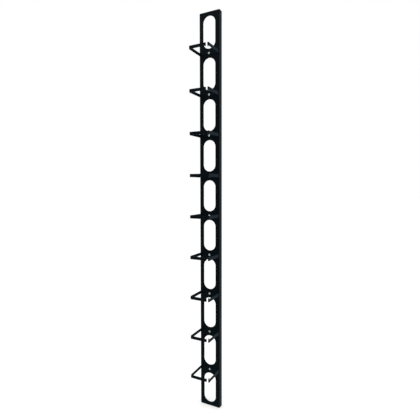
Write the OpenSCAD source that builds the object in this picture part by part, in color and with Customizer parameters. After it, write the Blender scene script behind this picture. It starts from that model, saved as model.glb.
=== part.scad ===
// Vertical cable manager: a folded steel panel with a column of cable slots, and bent
// strip rings bolted to the webs between the slots.
// The origin is midway between the two fixing holes of the bottom end, on its outer face.
// X runs across the panel and Z up it. The rings reach forward, towards -Y.

/* [Panel] */
// Width over the two side flanges
panel_w = 100; // [88:1:140]
// Number of cable slots
slot_count = 10; // [3:1:10]
// Width of a cable slot
slot_w = 60; // [24:1:72]
// Length of a cable slot, end to end
slot_l = 142; // [90:1:180]
// Height of the web between two slots
web_h = 41; // [30:1:80]
// Height of the plain band beyond the first and last slots
end_band_h = 19.5; // [12:0.5:50]
// Depth of the flanges, measured from the face
flange_d = 26; // [22:0.5:45]
// Thickness of the panel's sheet
sheet_t = 1.5; // [1:0.1:2.5]
// Inside radius of the panel's folds
fold_r = 1; // [0.5:0.1:2]
// Gap left between a side flange and an end flange
corner_gap = 0.6; // [0.2:0.1:2]

/* [Fixing to the cabinet] */
// Diameter of the fixing holes in the end flanges
fixing_hole_d = 7; // [4:0.5:9]
// Distance between the two fixing holes of an end
fixing_pitch = 60; // [30:1:70]
// Distance of the fixing holes behind the face
fixing_back = 14; // [8:0.5:17]

/* [Cable rings] */
// Width of a ring over its arms
ring_w = 96; // [60:1:130]
// Reach of a ring in front of the panel's face
ring_d = 100; // [60:1:150]
// Height of the strip that a ring is bent from
strip_h = 14; // [13:1:24]
// Thickness of the strip
strip_t = 2; // [1.5:0.1:3]
// Inside radius of the ring's three square corners
corner_r = 3; // [1:0.5:10]
// Inside radius of the bends at the two lips
lip_r = 1; // [0.5:0.1:2.5]
// Clear width of the entry between the two lips
entry_w = 7.5; // [4:0.5:20]
// Angle by which the lips lean away from straight back
lip_lean = 18; // [0:1:40]
// Straight length of the lip on the arm
arm_lip_l = 16; // [4:0.5:30]
// Straight length of the lip on the front bar
bar_lip_l = 3; // [1:0.5:20]

/* [Fasteners] */
// Nominal diameter of the ring screws
screw_d = 5; // [3:0.5:6]
// Diameter of the screw head
head_d = 9.5; // [8:0.1:12]
// Height of the screw head
head_h = 3.7; // [2.5:0.1:5]
// Radius of the dome on the screw head
head_dome_r = 8; // [6:0.5:20]
// Width of the cross recess's wings
recess_w = 1.2; // [0.6:0.1:2]
// Span of the cross recess
recess_span = 4.8; // [3:0.1:6]
// Depth of the cross recess
recess_d = 2; // [1:0.1:2.4]
// Length of screw that shows behind the nut
screw_end_l = 3.5; // [1:0.5:8]
// Clearance around the screw in the ring and the panel
screw_clearance = 0.5; // [0.1:0.1:1]
// Width across the flats of the nut
nut_flats = 8; // [7:0.5:10]
// Height of the nut
nut_h = 5; // [3:0.1:8]
// Diameter of the nut's flange
nut_flange_d = 11.8; // [10:0.1:16]
// Thickness of the nut's flange
nut_flange_h = 1.1; // [0.5:0.1:2]
// Chamfer on the nut's corners and on the screw's end
chamfer = 0.6; // [0.2:0.1:1]

/* [Hidden] */
$fn = 96;
over = 1;  // how far each cut runs past the face it opens
fold_outer_r = fold_r + sheet_t;
relief = fold_outer_r + corner_gap;  // the side and end folds stop this far from a corner
slot_pitch = slot_l + web_h;
panel_h = (slot_count - 1) * slot_pitch + slot_l + 2 * end_band_h;
ring_count = slot_count - 1;
screw_hole_d = screw_d + 2 * screw_clearance;
corner_outer_r = corner_r + strip_t;
lip_outer_r = lip_r + strip_t;
lip_bends_apart = (2 * lip_outer_r + entry_w) / cos(lip_lean);
corner_x = ring_w / 2 - corner_outer_r;
base_corner_y = -corner_outer_r;
front_corner_y = corner_outer_r - ring_d;
arm_lip_bend = [ring_w / 2 - lip_outer_r, lip_outer_r - ring_d];
bar_lip_bend = arm_lip_bend - [lip_bends_apart, 0];
bend_step = 7.5;  // degrees between the points of a bend
screw_l = strip_t + sheet_t + nut_h + screw_end_l;
root = 0.1;  // how far the shank's start lies under the recess
coat = [0.06, 0.08, 0.09];
ring_coat = [0.09, 0.11, 0.13];
zinc = [0.66, 0.71, 0.74];

function slot_z(i) = end_band_h + slot_l / 2 + (i - 1) * slot_pitch;
function ring_z(i) = slot_z(i) + slot_pitch / 2;

// Everything is drawn with the panel's face at y = 0 and moved back by this much.
module in_place(z = 0) {
    translate([0, -fixing_back, z]) children();
}

// A cylinder that runs towards +Y from the origin.
module along_y(d, l) {
    rotate([-90, 0, 0]) cylinder(d = d, h = l);
}

// A quarter of the fold, around the origin, on the +X and -Y side.
module fold_section() {
    intersection() {
        difference() {
            circle(r = fold_outer_r);
            circle(r = fold_r);
        }
        translate([0, -fold_outer_r]) square(fold_outer_r);
    }
}

// A fold and its flange along Z, centred, with the flange's outer face at x = 0.
module folded_flange(fold_l, flange_l) {
    translate([-fold_outer_r, fold_outer_r, 0])
        linear_extrude(height = fold_l, center = true) fold_section();
    translate([-sheet_t, fold_outer_r, -flange_l / 2])
        cube([sheet_t, flange_d - fold_outer_r, flange_l]);
}

module side_flange() {
    translate([panel_w / 2, 0, panel_h / 2])
        folded_flange(panel_h - 2 * relief, panel_h);
}

module end_flange() {
    rotate([0, 90, 0])
        folded_flange(panel_w - 2 * relief, panel_w - 2 * (sheet_t + corner_gap));
}

module slot_cut() {
    arc_centre = (slot_l - slot_w) / 2;
    translate([0, -over, 0]) {
        for (side = [-1, 1])
            translate([0, 0, side * arc_centre]) along_y(slot_w, sheet_t + 2 * over);
        translate([-slot_w / 2, 0, -arc_centre])
            cube([slot_w, sheet_t + 2 * over, 2 * arc_centre]);
    }
}

module fixing_holes() {
    for (side = [-1, 1])
        translate([side * fixing_pitch / 2, fixing_back, -over])
            cylinder(d = fixing_hole_d, h = panel_h + 2 * over);
}

module panel() {
    color(coat) in_place() difference() {
        union() {
            translate([fold_outer_r - panel_w / 2, 0, fold_outer_r])
                cube([panel_w - 2 * fold_outer_r, sheet_t, panel_h - 2 * fold_outer_r]);
            side_flange();
            mirror([1, 0, 0]) side_flange();
            end_flange();
            translate([0, 0, panel_h]) mirror([0, 0, 1]) end_flange();
        }
        for (i = [1 : slot_count])
            translate([0, 0, slot_z(i)]) slot_cut();
        for (i = [1 : ring_count])
            translate([0, -over, ring_z(i)]) along_y(screw_hole_d, sheet_t + 2 * over);
        fixing_holes();
    }
}

function arc_points(centre, r, from, to) = [
    for (k = [0 : ceil(abs(to - from) / bend_step)])
        let (angle = from + (to - from) * k / ceil(abs(to - from) / bend_step))
            centre + r * [cos(angle), sin(angle)]
];

// One side of the strip, from the free end of the short lip to that of the long lip. It
// lies out from the insides of the bends by the given distance.
function strip_side(out) =
    let (
        back = [-sin(lip_lean), cos(lip_lean)],
        bar_lip_start = bar_lip_bend + (lip_r + out) * [cos(lip_lean), sin(lip_lean)],
        arm_lip_start = arm_lip_bend - (lip_r + out) * [cos(lip_lean), sin(lip_lean)]
    )
    concat(
        [bar_lip_start + bar_lip_l * back],
        arc_points(bar_lip_bend, lip_r + out, lip_lean, -90),
        arc_points([-corner_x, front_corner_y], corner_r + out, -90, -180),
        arc_points([-corner_x, base_corner_y], corner_r + out, 180, 90),
        arc_points([corner_x, base_corner_y], corner_r + out, 90, 0),
        arc_points(arm_lip_bend, lip_r + out, 0, lip_lean - 180),
        [arm_lip_start + arm_lip_l * back]
    );

function reversed(points) = [for (k = [len(points) - 1 : -1 : 0]) points[k]];

// The base bar lies on the panel's face. The right arm ends in the long lip, and the left
// arm carries the front bar, which ends in the short lip.
module ring(i) {
    color(ring_coat) in_place(ring_z(i)) difference() {
        linear_extrude(height = strip_h, center = true)
            polygon(concat(strip_side(strip_t), reversed(strip_side(0))));
        translate([0, -strip_t - over, 0]) along_y(screw_hole_d, strip_t + 2 * over);
    }
}

// The head's half section: a straight rim under a dome, with its seat at y = 0.
module head_section() {
    intersection() {
        square([head_d / 2, head_h]);
        translate([0, head_h - head_dome_r]) circle(r = head_dome_r);
    }
}

// The shank's half section, which starts inside the head.
module shank_section() {
    polygon([
        [0, head_h - recess_d - root],
        [screw_d / 2, head_h - recess_d - root],
        [screw_d / 2, chamfer - screw_l],
        [screw_d / 2 - chamfer, -screw_l],
        [0, -screw_l]
    ]);
}

module ring_screw(i) {
    color(zinc) in_place(ring_z(i)) translate([0, -strip_t, 0]) rotate([90, 0, 0])
        difference() {
            union() {
                rotate_extrude() head_section();
                rotate_extrude() shank_section();
            }
            for (turn = [0, 90])
                rotate(turn) translate([-recess_span / 2, -recess_w / 2, head_h - recess_d])
                    cube([recess_span, recess_w, recess_d + over]);
        }
}

// A hexagon flange nut with its seat at z = 0, tightened against the back of the sheet.
module ring_nut(i) {
    nut_corner_r = nut_flats / 2 / cos(30);
    color(zinc) in_place(ring_z(i)) translate([0, sheet_t, 0]) rotate([-90, 0, 0])
        difference() {
            union() {
                cylinder(d = nut_flange_d, h = nut_flange_h);
                intersection() {
                    cylinder(r = nut_corner_r, h = nut_h, $fn = 6);
                    rotate_extrude() polygon([
                        [0, 0],
                        [nut_corner_r, 0],
                        [nut_corner_r, nut_h - chamfer],
                        [nut_corner_r - 2 * chamfer, nut_h],
                        [0, nut_h]
                    ]);
                }
            }
            translate([0, 0, -over]) cylinder(d = screw_d, h = nut_h + 2 * over);
        }
}

panel();
for (i = [1 : ring_count]) {
    ring(i);
    ring_screw(i);
    ring_nut(i);
}
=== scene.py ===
import math
import bpy
import bmesh
from mathutils import Matrix, Vector
from mathutils.geometry import delaunay_2d_cdt


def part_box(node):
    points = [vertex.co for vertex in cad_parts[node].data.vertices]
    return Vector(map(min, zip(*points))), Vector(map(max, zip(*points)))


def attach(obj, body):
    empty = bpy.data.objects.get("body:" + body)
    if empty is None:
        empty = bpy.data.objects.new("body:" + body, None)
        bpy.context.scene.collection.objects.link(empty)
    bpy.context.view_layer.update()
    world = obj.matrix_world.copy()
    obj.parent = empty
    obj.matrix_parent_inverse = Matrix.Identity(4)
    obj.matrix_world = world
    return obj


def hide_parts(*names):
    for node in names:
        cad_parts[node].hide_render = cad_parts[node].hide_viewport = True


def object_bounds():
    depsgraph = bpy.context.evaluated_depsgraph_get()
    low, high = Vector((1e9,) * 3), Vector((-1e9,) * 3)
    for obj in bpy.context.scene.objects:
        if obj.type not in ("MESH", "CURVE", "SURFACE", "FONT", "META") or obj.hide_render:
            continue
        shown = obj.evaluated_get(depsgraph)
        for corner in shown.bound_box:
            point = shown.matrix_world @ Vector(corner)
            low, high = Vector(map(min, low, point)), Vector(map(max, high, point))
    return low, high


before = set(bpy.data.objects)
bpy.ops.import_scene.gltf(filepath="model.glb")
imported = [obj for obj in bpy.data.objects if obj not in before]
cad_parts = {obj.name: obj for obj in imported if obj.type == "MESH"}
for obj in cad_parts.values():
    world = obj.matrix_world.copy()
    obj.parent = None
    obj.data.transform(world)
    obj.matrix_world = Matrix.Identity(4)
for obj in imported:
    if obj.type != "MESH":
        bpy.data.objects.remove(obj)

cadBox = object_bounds()
mm = 0.001
ringCount = sum(name.startswith("ring_nut_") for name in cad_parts)
ringNumbers = range(1, ringCount + 1)


def middleOf(node):
    low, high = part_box(node)
    return (low + high) / 2


def sizeOf(node):
    low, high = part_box(node)
    return high - low


def linearColour(hexColour, alpha=1.0):
    # sRGB hex to the linear values that the shaders take
    channels = [int(hexColour[i:i + 2], 16) / 255 for i in (1, 3, 5)]
    return [c / 12.92 if c <= 0.04045 else ((c + 0.055) / 1.055) ** 2.4 for c in channels] + [alpha]


def addNode(tree, kind, settings=None, links=None):
    # settings go to the node's own options or to its sockets, links go from sockets to sockets
    node = tree.nodes.new(kind)
    for name, value in (settings or {}).items():
        if isinstance(name, int) or name in node.inputs:
            node.inputs[name].default_value = value
        else:
            setattr(node, name, value)
    for name, source in (links or {}).items():
        tree.links.new(source, node.inputs[name])
    return node


def newMaterial(name):
    material = bpy.data.materials.new(name)
    material.use_nodes = True
    material.node_tree.nodes.clear()
    return material, material.node_tree


# Black polyester powder, sprayed on steel and baked. The eye gets a deep, slightly blue black,
# a soft wide sheen, and the small ripples that baked powder sets with.
powderCoat = {
    "colour": "#020406",
    "chalky": "#05080a",      # where the bake left the skin a little paler
    "worn": "#3a464d",        # where the coat is thin over an edge
    "roughness": 0.42,
    "specular": 0.03,
    "smoother": 0.09,         # how far the roughness falls and rises from blotch to blotch
    "rougher": 0.11,
    "sheen": 0.1,             # the fine grain catches light from the side
    "sheenRoughness": 0.5,
    "sheenTint": "#5cc4f5",
    "rippleMm": 2.4,          # one ripple of the baked surface
    "rippleDepthMm": 0.2,
    "rippleStrength": 0.5,
    "grainMm": 0.7,           # powder grain, drawn coarser than the real 0.1 mm so that it shows
    "grainDepthMm": 0.06,
    "grainStrength": 0.4,
    "blotchMm": 90.0,         # slow changes of sheen along the sheet
    "edgeMm": 0.8,            # how far the thin coat reaches from an edge
    "wornTurn": 0.8,          # cosine between the flat and the rounded normal where wear is full
}


def makePowderCoat(name, look):
    material, tree = newMaterial(name)
    place = addNode(tree, "ShaderNodeTexCoord").outputs["Object"]
    ripple = addNode(tree, "ShaderNodeTexNoise",
                     {"Scale": 1 / (look["rippleMm"] * mm), "Detail": 2.0, "Roughness": 0.4},
                     {"Vector": place})
    grain = addNode(tree, "ShaderNodeTexNoise",
                    {"Scale": 1 / (look["grainMm"] * mm), "Detail": 1.0}, {"Vector": place})
    blotch = addNode(tree, "ShaderNodeTexNoise",
                     {"Scale": 1 / (look["blotchMm"] * mm), "Detail": 3.0}, {"Vector": place})
    roughness = addNode(tree, "ShaderNodeMapRange",
                        {"To Min": look["roughness"] - look["smoother"],
                         "To Max": look["roughness"] + look["rougher"]},
                        {"Value": blotch.outputs["Fac"]})
    ripples = addNode(tree, "ShaderNodeBump",
                      {"Strength": look["rippleStrength"], "Distance": look["rippleDepthMm"] * mm},
                      {"Height": ripple.outputs["Fac"]})
    grains = addNode(tree, "ShaderNodeBump",
                     {"Strength": look["grainStrength"], "Distance": look["grainDepthMm"] * mm},
                     {"Height": grain.outputs["Fac"], "Normal": ripples.outputs["Normal"]})
    rounded = addNode(tree, "ShaderNodeBevel", {"samples": 4, "Radius": look["edgeMm"] * mm})
    flat = addNode(tree, "ShaderNodeNewGeometry")
    turned = addNode(tree, "ShaderNodeVectorMath", {"operation": "DOT_PRODUCT"},
                     {0: rounded.outputs["Normal"], 1: flat.outputs["Normal"]})
    nearEdge = addNode(tree, "ShaderNodeMapRange", {"From Min": 1.0, "From Max": look["wornTurn"]},
                       {"Value": turned.outputs["Value"]})
    patchy = addNode(tree, "ShaderNodeMath", {"operation": "MULTIPLY"},
                     {0: nearEdge.outputs["Result"], 1: ripple.outputs["Fac"]})
    skin = addNode(tree, "ShaderNodeMix",
                   {"data_type": "RGBA", 6: linearColour(look["colour"]), 7: linearColour(look["chalky"])},
                   {0: blotch.outputs["Fac"]})
    colour = addNode(tree, "ShaderNodeMix", {"data_type": "RGBA", 7: linearColour(look["worn"])},
                     {0: patchy.outputs["Value"], 6: skin.outputs[2]})
    coat = addNode(tree, "ShaderNodeBsdfPrincipled",
                   {"IOR": 1.5, "Specular IOR Level": look["specular"], "Sheen Weight": look["sheen"],
                    "Sheen Roughness": look["sheenRoughness"],
                    "Sheen Tint": linearColour(look["sheenTint"])},
                   {"Base Color": colour.outputs[2], "Roughness": roughness.outputs["Result"],
                    "Normal": grains.outputs["Normal"]})
    addNode(tree, "ShaderNodeOutputMaterial", {}, {"Surface": coat.outputs["BSDF"]})
    return material


# Bright zinc on steel, electroplated and passivated blue. The eye gets a pale bluish metal with
# a slightly cloudy shine.
zincPlate = {
    "colour": "#b3bfc4",
    "cloud": "#94a2aa",
    "roughness": 0.3,
    "smoother": 0.06,         # how far the roughness falls and rises from patch to patch
    "rougher": 0.1,
    "cloudMm": 2.5,           # one patch of the plating
    "scratchMm": 0.3,         # fine marks from the barrel that the parts are plated in
    "scratchDepthMm": 0.01,
    "scratchStrength": 0.25,
}


def makeZincPlate(name, look):
    material, tree = newMaterial(name)
    place = addNode(tree, "ShaderNodeTexCoord").outputs["Object"]
    cloud = addNode(tree, "ShaderNodeTexNoise",
                    {"Scale": 1 / (look["cloudMm"] * mm), "Detail": 4.0}, {"Vector": place})
    colour = addNode(tree, "ShaderNodeMix",
                     {"data_type": "RGBA", 6: linearColour(look["colour"]), 7: linearColour(look["cloud"])},
                     {0: cloud.outputs["Fac"]})
    roughness = addNode(tree, "ShaderNodeMapRange",
                        {"To Min": look["roughness"] - look["smoother"],
                         "To Max": look["roughness"] + look["rougher"]},
                        {"Value": cloud.outputs["Fac"]})
    scratch = addNode(tree, "ShaderNodeTexNoise",
                      {"Scale": 1 / (look["scratchMm"] * mm), "Detail": 2.0, "Distortion": 1.5},
                      {"Vector": place})
    marks = addNode(tree, "ShaderNodeBump",
                    {"Strength": look["scratchStrength"], "Distance": look["scratchDepthMm"] * mm},
                    {"Height": scratch.outputs["Fac"]})
    metal = addNode(tree, "ShaderNodeBsdfPrincipled", {"Metallic": 1.0},
                    {"Base Color": colour.outputs[2], "Roughness": roughness.outputs["Result"],
                     "Normal": marks.outputs["Normal"]})
    addNode(tree, "ShaderNodeOutputMaterial", {}, {"Surface": metal.outputs["BSDF"]})
    return material


materials = {
    "panel_coat": makePowderCoat("satinBlackPowderCoat", powderCoat),
    "ring_coat": makePowderCoat("satinBlackPowderCoatRings", powderCoat),
    "zinc_plate": makeZincPlate("blueZincPlate", zincPlate),
}
print("materials made:", len(materials))


def finishPiece(name, mesh, slot, node, sharpDegrees=40):
    mesh.name = name
    mesh.materials.append(materials[slot])
    mesh.shade_smooth()
    mesh.set_sharp_from_angle(angle=math.radians(sharpDegrees))
    piece = bpy.data.objects.new(name, mesh)
    bpy.context.scene.collection.objects.link(piece)
    normals = piece.modifiers.new("evenNormals", "WEIGHTED_NORMAL")
    normals.keep_sharp = True
    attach(piece, "root")
    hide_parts(node)
    return piece


# A strip or sheet is a flat blank, folded. A path holds its straight lengths, each with the left
# turn and the inside radius of the bend that follows. Lengths are taken along the metal's middle.
def foldedPath(steps, thickness, heading):
    runs, corner, start = [], Vector((0, 0)), 0.0
    for length, turn, radius in steps:
        forward = Vector((math.cos(heading), math.sin(heading)))
        inward = Vector((-forward.y, forward.x))
        centre = corner + forward * length + inward * (radius + thickness)
        runs.append({"start": start, "length": length, "corner": corner, "forward": forward, "inward": inward,
                     "heading": heading, "turn": turn, "middle": radius + thickness / 2, "centre": centre})
        start += length + (radius + thickness / 2) * turn
        heading += turn
        corner = centre + (radius + thickness) * Vector((math.sin(heading), -math.cos(heading)))
    return {"runs": runs, "length": start, "thickness": thickness}


def onPath(path, distance, depth):
    # depth runs from the outside of the bends towards their inside
    run = [r for r in path["runs"] if r["start"] <= distance + 1e-9][-1] if distance > 0 else path["runs"][0]
    past = distance - run["start"] - run["length"]
    if past <= 0 or run["turn"] == 0:
        return run["corner"] + run["forward"] * (distance - run["start"]) + run["inward"] * depth
    angle = run["heading"] + past / run["middle"]
    outer = run["middle"] + path["thickness"] / 2
    return run["centre"] + (outer - depth) * Vector((math.sin(angle), -math.cos(angle)))


def bendStations(path, stepDegrees):
    stations = []
    for run in path["runs"]:
        if run["turn"]:
            count = math.ceil(run["turn"] / math.radians(stepDegrees) - 1e-6)
            first = run["start"] + run["length"]
            stations += [first + run["middle"] * run["turn"] * k / count for k in range(count + 1)]
    return stations


def arc(centre, radius, start, turn, steps):
    return [centre + radius * Vector((math.cos(start + turn * k / steps), math.sin(start + turn * k / steps)))
            for k in range(steps + 1)]


def roundHole(centre, radius, steps=32):
    return arc(centre, radius, 0, -math.tau, steps)[:-1]


def foldedSheet(loops, creases, thickness, edgeRadius, place, edgeSteps=3):
    # loops keep the metal on their left; the edge between the two faces is rounded
    mesh = bmesh.new()
    points, outward, edges, rings = [], [], [], []
    for loop in loops:
        first = len(points)
        for i, point in enumerate(loop):
            before = (point - loop[i - 1]).normalized()
            after = (loop[(i + 1) % len(loop)] - point).normalized()
            mitre = Vector((before.y + after.y, -before.x - after.x)).normalized()
            mitre /= mitre.dot(Vector((after.y, -after.x)))
            points.append(point - mitre * edgeRadius)
            outward.append(mitre)
        rings.append(range(first, len(points)))
        edges += [(k, k + 1) for k in rings[-1][:-1]] + [(rings[-1][-1], first)]
    for crease in creases:
        edges.append(tuple(min(range(len(points)), key=lambda k: (points[k] - end).length) for end in crease))

    quarter = [math.pi / 2 * k / edgeSteps for k in range(edgeSteps + 1)]
    profile = [(edgeRadius * math.sin(a), edgeRadius * (1 - math.cos(a))) for a in quarter]
    profile += [(out, thickness - depth) for out, depth in reversed(profile)]
    layers = [[mesh.verts.new(place(point + away * out, depth)) for point, away in zip(points, outward)]
              for out, depth in profile]
    for upper, lower in zip(layers, layers[1:]):
        for ring in rings:
            for i, k in enumerate(ring):
                after = ring[(i + 1) % len(ring)]
                mesh.faces.new((upper[k], upper[after], lower[after], lower[k]))

    filled = delaunay_2d_cdt(points, edges, [], 1, 1e-9)
    source = [kept[0] for kept in filled[3]]
    holes = [set(ring) for ring in rings[1:]]
    for triangle in filled[2]:
        corners = [source[k] for k in triangle]
        if not any(hole.issuperset(corners) for hole in holes):
            mesh.faces.new([layers[0][k] for k in reversed(corners)])
            mesh.faces.new([layers[-1][k] for k in corners])
    bmesh.ops.recalc_face_normals(mesh, faces=mesh.faces)
    finished = bpy.data.meshes.new("sheet")
    mesh.to_mesh(finished)
    mesh.free()
    return finished


panelSheet = {
    "thicknessMm": 1.5,
    "foldMm": 1.0,            # inside radius of the four folds
    "edgeMm": 0.3,            # the cut edges, rounded by tumbling and by the coat
    "slotWidthMm": 60.0,
    "slotLengthMm": 142.0,
    "slotArcSteps": 48,
    "screwHoleMm": 6.0,
    "fixingHoleMm": 7.0,
    "fixingPitchMm": 60.0,
    "reliefMm": 0.6,          # how far the corner reliefs run past the fold lines
    "foldStepDegrees": 11.25,
}


def makePanel(look):
    low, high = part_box("panel")
    width, depth, height = high - low
    thickness = look["thicknessMm"] * mm
    radius = look["foldMm"] * mm
    outer = radius + thickness
    relief = look["reliefMm"] * mm
    straight = depth - outer
    quarterTurn = math.pi / 2
    across = foldedPath([(straight, quarterTurn, radius), (width - 2 * outer, quarterTurn, radius),
                         (straight, 0, 0)], thickness, -quarterTurn)
    along = foldedPath([(straight, quarterTurn, radius), (height - 2 * outer, quarterTurn, radius),
                        (straight, 0, 0)], thickness, -quarterTurn)
    halfAcross, halfAlong = across["length"] / 2, along["length"] / 2
    foldX, foldZ = width / 2 - outer, height / 2 - outer      # where the folds start on the flat blank
    arcLength = halfAcross - foldX - straight
    flangeStart = arcLength + relief
    centre = Vector(((low.x + high.x) / 2, low.y, (low.z + high.z) / 2))
    acrossMiddle = onPath(across, halfAcross, 0)
    alongMiddle = onPath(along, halfAlong, 0)

    def place(point, inside):
        if abs(point.y) > foldZ - relief / 2 and abs(point.x) < foldX + arcLength / 2:
            z, y = onPath(along, point.y + halfAlong, inside) - alongMiddle
            return centre + Vector((point.x, y, z))
        x, y = onPath(across, point.x + halfAcross, inside) - acrossMiddle
        return centre + Vector((x, y, point.y))

    steps = [s - halfAcross - foldX for s in bendStations(across, look["foldStepDegrees"]) if s > halfAcross]
    endHalf = width / 2 - thickness - relief
    corner = [(foldX + arcLength + straight, height / 2), (foldX + flangeStart, height / 2),
              (foldX + flangeStart, foldZ - relief)]
    corner += [(foldX + s, foldZ - relief) for s in reversed(steps)]
    corner += [(foldX - relief, foldZ - relief)]
    corner += [(foldX - relief, foldZ + s) for s in steps]
    corner += [(foldX - relief, foldZ + flangeStart), (endHalf, foldZ + flangeStart),
               (endHalf, foldZ + arcLength + straight)]
    upper = corner + [(-x, z) for x, z in reversed(corner)]
    outline = [Vector(p) for p in upper] + [Vector((-x, -z)) for x, z in upper]

    creases = []
    for s in steps:
        for side in (-1, 1):
            sideX, endZ = side * (foldX + s), side * (foldZ + s)
            creases.append((Vector((sideX, relief - foldZ)), Vector((sideX, foldZ - relief))))
            creases.append((Vector((relief - foldX, endZ)), Vector((foldX - relief, endZ))))

    slotRadius = look["slotWidthMm"] * mm / 2
    slotStraight = look["slotLengthMm"] * mm - 2 * slotRadius
    slotSteps = look["slotArcSteps"]
    screwZ = [middleOf(f"ring_{i}").z - centre.z for i in ringNumbers]
    pitch = (screwZ[-1] - screwZ[0]) / (ringCount - 1)
    loops = [outline]
    for z in [screwZ[0] - pitch / 2] + [z + pitch / 2 for z in screwZ]:
        top, bottom = Vector((0, z + slotStraight / 2)), Vector((0, z - slotStraight / 2))
        loops.append(arc(top, slotRadius, math.pi, -math.pi, slotSteps)
                     + arc(bottom, slotRadius, 0, -math.pi, slotSteps))
    loops += [roundHole(Vector((0, z)), look["screwHoleMm"] * mm / 2) for z in screwZ]
    fixingZ = foldZ + arcLength + (-low.y - outer)      # the fixing holes are in line with the origin
    fixingX, fixingRadius = look["fixingPitchMm"] * mm / 2, look["fixingHoleMm"] * mm / 2
    loops += [roundHole(Vector((x * fixingX, z * fixingZ)), fixingRadius) for x in (-1, 1) for z in (-1, 1)]
    sheet = foldedSheet(loops, creases, thickness, look["edgeMm"] * mm, place)
    return finishPiece("foldedPanel", sheet, "panel_coat", "panel")


makePanel(panelSheet)
print("panel folded")

ringStrip = {
    "thicknessMm": 2.0,
    "edgeMm": 0.5,            # rounded edges of the drawn strip
    "endCornerMm": 1.2,       # corners of the strip's two ends
    "cornerMm": 3.0,          # inside radius of the three square corners
    "lipMm": 1.0,             # inside radius of the bends at the lips
    "entryMm": 7.5,           # clear width between the lips
    "leanDegrees": 18.0,      # how far the lips lean from straight back
    "armLipMm": 16.0,
    "barLipMm": 3.0,
    "screwHoleMm": 6.0,
    "bendStepDegrees": 7.5,
}


def makeRing(number, look):
    node = f"ring_{number}"
    width, depth, height = sizeOf(node)
    thickness = look["thicknessMm"] * mm
    corner, lip = look["cornerMm"] * mm, look["lipMm"] * mm
    cornerOuter, lipOuter = corner + thickness, lip + thickness
    lean = math.radians(look["leanDegrees"])
    lipsApart = (2 * lipOuter + look["entryMm"] * mm) / math.cos(lean)
    square = math.pi / 2
    steps = [(look["armLipMm"] * mm, math.pi - lean, lip),
             (depth - cornerOuter - lipOuter, square, corner),
             (width - 2 * cornerOuter, square, corner),
             (depth - 2 * cornerOuter, square, corner),
             (width - cornerOuter - lipOuter - lipsApart, square + lean, lip),
             (look["barLipMm"] * mm, 0, 0)]
    path = foldedPath(steps, thickness, lean - square)
    base = path["runs"][2]
    screwAt = base["start"] + base["length"] / 2
    backOfBase = onPath(path, screwAt, 0)
    low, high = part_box(node)
    centre = Vector(((low.x + high.x) / 2, high.y, (low.z + high.z) / 2))

    def place(point, inside):
        x, y = onPath(path, point.x, inside) - backOfBase
        return centre + Vector((x, y, point.y))

    stations = bendStations(path, look["bendStepDegrees"])
    end, half, bend = path["length"], height / 2, look["endCornerMm"] * mm
    outline = [Vector((s, -half)) for s in stations]
    outline += arc(Vector((end - bend, bend - half)), bend, -square, square, 4)
    outline += arc(Vector((end - bend, half - bend)), bend, 0, square, 4)
    outline += [Vector((s, half)) for s in reversed(stations)]
    outline += arc(Vector((bend, half - bend)), bend, square, square, 4)
    outline += arc(Vector((bend, bend - half)), bend, math.pi, square, 4)
    creases = [(Vector((s, -half)), Vector((s, half))) for s in stations]
    hole = roundHole(Vector((screwAt, 0)), look["screwHoleMm"] * mm / 2)
    strip = foldedSheet([outline, hole], creases, thickness, look["edgeMm"] * mm, place)
    return finishPiece(f"cableRing{number}", strip, "ring_coat", node)


for number in ringNumbers:
    makeRing(number, ringStrip)
print("rings bent:", ringCount)


def turnedMesh(columns, closed):
    # one column of (radius, height) points for each angle, the last one back at the start
    mesh = bmesh.new()
    grid = []
    for k, column in enumerate(columns):
        angle = math.tau * k / (len(columns) - 1)
        grid.append([mesh.verts.new((r * math.cos(angle), r * math.sin(angle), z)) for r, z in column])
    count = len(columns[0])
    for left, right in zip(grid, grid[1:]):
        for j in range(count if closed else count - 1):
            below = (j + 1) % count
            mesh.faces.new((left[j], right[j], right[below], left[below]))
    bmesh.ops.remove_doubles(mesh, verts=mesh.verts, dist=1e-6)
    bmesh.ops.dissolve_degenerate(mesh, edges=mesh.edges, dist=1e-6)
    bmesh.ops.holes_fill(mesh, edges=[edge for edge in mesh.edges if edge.is_boundary], sides=4)
    bmesh.ops.recalc_face_normals(mesh, faces=mesh.faces)
    finished = bpy.data.meshes.new("turned")
    mesh.to_mesh(finished)
    mesh.free()
    return finished


panScrew = {
    "threadMm": 5.0,
    "pitchMm": 0.8,
    "headMm": 9.5,
    "headHeightMm": 3.7,
    "domeMm": 8.0,            # radius of the dome
    "rimMm": 0.35,            # rounding of the head's seat edge
    "recessMm": 4.8,          # span of the cross recess
    "wingMm": 1.2,
    "recessDepthMm": 2.2,
    "recessFlareMm": 0.1,     # how much wider the cross is above the head
    "recessAboveMm": 0.4,
    "floorReach": 1.4,        # the cross at its floor, in shares of half a wing
    "floorWing": 0.6,
    "threadDepth": 0.541,     # depth of a metric thread, in shares of its pitch
    "runOutSlope": 1.2,       # how steeply the thread starts and fades out
    "domeSteps": 12,
    "endChamferMm": 0.6,
}


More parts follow.
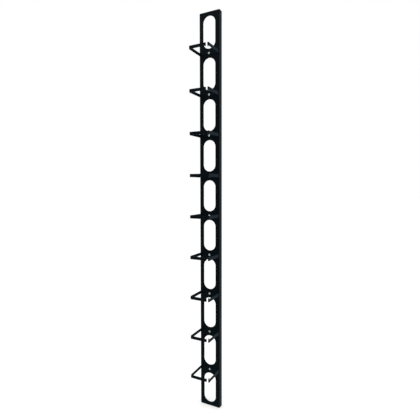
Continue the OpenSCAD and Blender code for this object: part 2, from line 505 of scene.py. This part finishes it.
def crossCutter(look):
    # a cross that narrows towards the bottom of the recess
    wing = look["wingMm"] * mm / 2
    top = (look["headHeightMm"] + look["recessAboveMm"]) * mm
    bottom = (look["headHeightMm"] - look["recessDepthMm"]) * mm
    mesh = bmesh.new()
    layers = []
    turns = [Matrix.Rotation(math.pi / 2 * k, 2) for k in range(4)]
    wide = (look["recessMm"] / 2 + look["recessFlareMm"]) * mm
    floorReach, floorWing = wing * look["floorReach"], wing * look["floorWing"]
    for z, reach, side in ((top, wide, wing), (bottom, floorReach, floorWing)):
        quarter = [(reach, -side), (reach, side), (side, side)]
        cross = [turn @ Vector(p) for turn in turns for p in quarter]
        layers.append([mesh.verts.new((p.x, p.y, z)) for p in cross])
    for k in range(len(layers[0])):
        after = (k + 1) % len(layers[0])
        mesh.faces.new((layers[0][k], layers[0][after], layers[1][after], layers[1][k]))
    mesh.faces.new(layers[0])
    mesh.faces.new(layers[1])
    bmesh.ops.recalc_face_normals(mesh, faces=mesh.faces)
    cutter = bpy.data.meshes.new("crossCutter")
    mesh.to_mesh(cutter)
    mesh.free()
    return cutter


def carved(mesh, cutter):
    whole = bpy.data.objects.new("whole", mesh)
    tool = bpy.data.objects.new("tool", cutter)
    for thing in (whole, tool):
        bpy.context.scene.collection.objects.link(thing)
    cut = whole.modifiers.new("cut", "BOOLEAN")
    cut.object = tool
    cut.operation = "DIFFERENCE"
    cut.solver = "EXACT"
    result = bpy.data.meshes.new_from_object(whole.evaluated_get(bpy.context.evaluated_depsgraph_get()))
    bpy.data.objects.remove(whole)
    bpy.data.objects.remove(tool)
    return result


def makeScrewMesh(look, length, segments=48):
    thread, pitch = look["threadMm"] * mm / 2, look["pitchMm"] * mm
    head, height, dome = look["headMm"] * mm / 2, look["headHeightMm"] * mm, look["domeMm"] * mm
    rim = look["rimMm"] * mm
    root = thread - look["threadDepth"] * pitch
    tip = thread - look["endChamferMm"] * mm
    domeEdge = math.asin(head / dome)
    domeSteps = look["domeSteps"]
    domeAngles = [domeEdge * k / domeSteps for k in range(domeSteps + 1)]
    rimAngles = [math.pi / 6 * k for k in range(4)]
    top = [(dome * math.sin(a), height - dome + dome * math.cos(a)) for a in domeAngles]
    seat = [(head - rim + rim * math.cos(a), rim - rim * math.sin(a)) for a in rimAngles]
    start, end = -pitch, height - length      # the thread runs between these heights
    crests = [(0, thread), (1 / 8, thread), (7 / 16, root), (11 / 16, root)]
    turns = math.ceil((start - end) / pitch) + 1
    columns = []
    for k in range(segments + 1):
        column = top + seat + [(root, 0)]
        for turn in range(-1, turns):
            for share, radius in crests:
                z = min(max(start - pitch * (turn + share - k / segments), end), start)
                runOut = root + (start - z) * look["runOutSlope"]
                column.append((min(radius, runOut, tip + (z - end)), z))
        columns.append(column + [(0, end)])
    return carved(turnedMesh(columns, False), crossCutter(look))


flangeNut = {
    "flatsMm": 8.0,
    "heightMm": 5.0,
    "flangeMm": 11.8,
    "rimMm": 1.0,             # thickness of the flange at its rim
    "rimChamferMm": 0.25,
    "flangeSlopeDegrees": 18.0,
    "boreMm": 5.0,
    "mouthMm": 0.35,          # chamfer at both ends of the bore
    "crownMm": 0.6,           # chamfer over the corners of the hexagon
}


def makeNutMesh(look, segments=96):
    flat, height, flange = look["flatsMm"] * mm / 2, look["heightMm"] * mm, look["flangeMm"] * mm / 2
    bore, mouth, rim = look["boreMm"] * mm / 2, look["mouthMm"] * mm, look["rimMm"] * mm
    corner = flat / math.cos(math.pi / 6)
    crown = corner - 2 * look["crownMm"] * mm
    slope = math.tan(math.radians(look["flangeSlopeDegrees"]))
    edge = look["rimChamferMm"] * mm
    columns = []
    for k in range(segments + 1):
        turn = (math.tau * k / segments) % (math.pi / 3) - math.pi / 6
        side = flat / math.cos(turn)
        columns.append([
            (bore, mouth), (bore, height - mouth), (bore + mouth, height), (crown, height),
            (side, height - max(side - crown, 0) / 2), (side, rim + (flange - side) * slope),
            (flange - edge, rim + edge * slope), (flange, rim - edge), (flange, edge), (flange - edge, 0),
            (bore + mouth, 0)])
    return turnedMesh(columns, True)


def placedCopy(mesh, axisTurn, spin, place):
    copy = mesh.copy()
    turned = Matrix.Rotation(axisTurn, 4, "X") @ Matrix.Rotation(spin, 4, "Z")
    copy.transform(Matrix.Translation(place) @ turned)
    return copy


goldenTurn = math.radians(137.5)              # every screw and nut stops at another angle
screwMesh = makeScrewMesh(panScrew, sizeOf("ring_screw_1").y)
nutMesh = makeNutMesh(flangeNut)
for number in ringNumbers:
    screwNode, nutNode = f"ring_screw_{number}", f"ring_nut_{number}"
    seat = middleOf(screwNode)
    seat.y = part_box(screwNode)[0].y + panScrew["headHeightMm"] * mm
    screw = placedCopy(screwMesh, math.pi / 2, number * goldenTurn, seat)
    finishPiece(f"ringScrew{number}", screw, "zinc_plate", screwNode)
    back = middleOf(nutNode)
    back.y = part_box(nutNode)[0].y
    nut = placedCopy(nutMesh, -math.pi / 2, number * goldenTurn * 2, back)
    finishPiece(f"ringNut{number}", nut, "zinc_plate", nutNode, 25)
print("screws and nuts made:", 2 * ringCount)

studio = {
    "floorColour": "#d2d2d0",
    "roomLevel": 0.75,        # what the room gives to matt surfaces
    "sweepGlow": 0.55,        # brings the lit floor up to white and leaves the shadow on it
    "coolWhite": "#f6fcff",
    "keyPower": 12.0,
    "keyPlace": (-0.9, -2.0, 3.0),
    "keySize": (1.4, 1.4),
    "sidePower": 7.0,
    "sidePlace": (2.2, 1.2, 1.0),
    "sideSize": (1.2, 2.4),
    "floorSize": 60.0,
}


def areaLamp(name, place, target, size, power, colour="#ffffff"):
    lamp = bpy.data.lights.new(name, "AREA")
    lamp.shape = "RECTANGLE"
    lamp.size, lamp.size_y = size
    lamp.energy = power
    lamp.color = linearColour(colour)[:3]
    thing = bpy.data.objects.new(name, lamp)
    thing.location = place
    thing.rotation_euler = (Vector(target) - Vector(place)).to_track_quat("-Z", "Y").to_euler()
    bpy.context.scene.collection.objects.link(thing)
    return thing


def seenStrength(tree, seen, unseen):
    # camera, glossy and transmitted rays see the white sweep, every other ray gets the unseen level
    path = addNode(tree, "ShaderNodeLightPath")
    mirrored = addNode(tree, "ShaderNodeMath", {"operation": "MAXIMUM"},
                       {0: path.outputs["Is Glossy Ray"], 1: path.outputs["Is Transmission Ray"]})
    direct = addNode(tree, "ShaderNodeMath", {"operation": "MAXIMUM"},
                     {0: path.outputs["Is Camera Ray"], 1: mirrored.outputs["Value"]})
    return addNode(tree, "ShaderNodeMix", {"data_type": "FLOAT", 2: unseen, 3: seen},
                   {0: direct.outputs["Value"]}).outputs[0]


def makeWorld():
    world = bpy.data.worlds.new("studio")
    bpy.context.scene.world = world
    world.use_nodes = True
    tree = world.node_tree
    tree.nodes.clear()
    sweep = addNode(tree, "ShaderNodeBackground", {"Color": (1, 1, 1, 1)},
                    {"Strength": seenStrength(tree, 1.0, studio["roomLevel"])})
    addNode(tree, "ShaderNodeOutputWorld", {}, {"Surface": sweep.outputs["Background"]})


def makeFloor():
    mesh = bpy.data.meshes.new("floor")
    half = studio["floorSize"] / 2
    z = cadBox[0].z
    corners = [(-half, -half, z), (half, -half, z), (half, half, z), (-half, half, z)]
    mesh.from_pydata(corners, [], [(0, 1, 2, 3)])
    floor = bpy.data.objects.new("floor", mesh)
    bpy.context.scene.collection.objects.link(floor)
    material, tree = newMaterial("paleStudioFloor")
    paper = addNode(tree, "ShaderNodeBsdfDiffuse", {"Color": linearColour(studio["floorColour"])})
    glow = addNode(tree, "ShaderNodeEmission", {"Color": (1, 1, 1, 1)},
                   {"Strength": seenStrength(tree, studio["sweepGlow"], 0.0)})
    both = addNode(tree, "ShaderNodeAddShader", {}, {0: paper.outputs["BSDF"], 1: glow.outputs["Emission"]})
    addNode(tree, "ShaderNodeOutputMaterial", {}, {"Surface": both.outputs["Shader"]})
    mesh.materials.append(material)


makeWorld()
makeFloor()
panelLow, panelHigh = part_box("panel")
middle = (panelLow + panelHigh) / 2
for name in ("key", "side"):
    areaLamp(name + "Softbox", studio[name + "Place"], middle, studio[name + "Size"],
             studio[name + "Power"], studio["coolWhite"])

cameraView = {
    "turnDegrees": 27.6,      # round from the front towards +X
    "distance": 1.633,        # from the middle of the face, on the level
    "height": 1.0493,
    "tiltDegrees": 3.83,      # down from level
    "aimDegrees": 27.53,
    "rollDegrees": 0.13,
    "lensMm": 30.33,
}


def makeCamera(look):
    camera = bpy.data.cameras.new("camera")
    camera.sensor_width = 36.0
    camera.lens = look["lensMm"]
    thing = bpy.data.objects.new("camera", camera)
    turn = math.radians(look["turnDegrees"])
    across, back = look["distance"] * math.sin(turn), look["distance"] * math.cos(turn)
    angles = (90 - look["tiltDegrees"], look["rollDegrees"], look["aimDegrees"])
    thing.location = (across, panelLow.y - back, look["height"])
    thing.rotation_euler = [math.radians(angle) for angle in angles]
    bpy.context.scene.collection.objects.link(thing)
    bpy.context.scene.camera = thing


makeCamera(cameraView)
bpy.context.scene.view_settings.view_transform = "Standard"
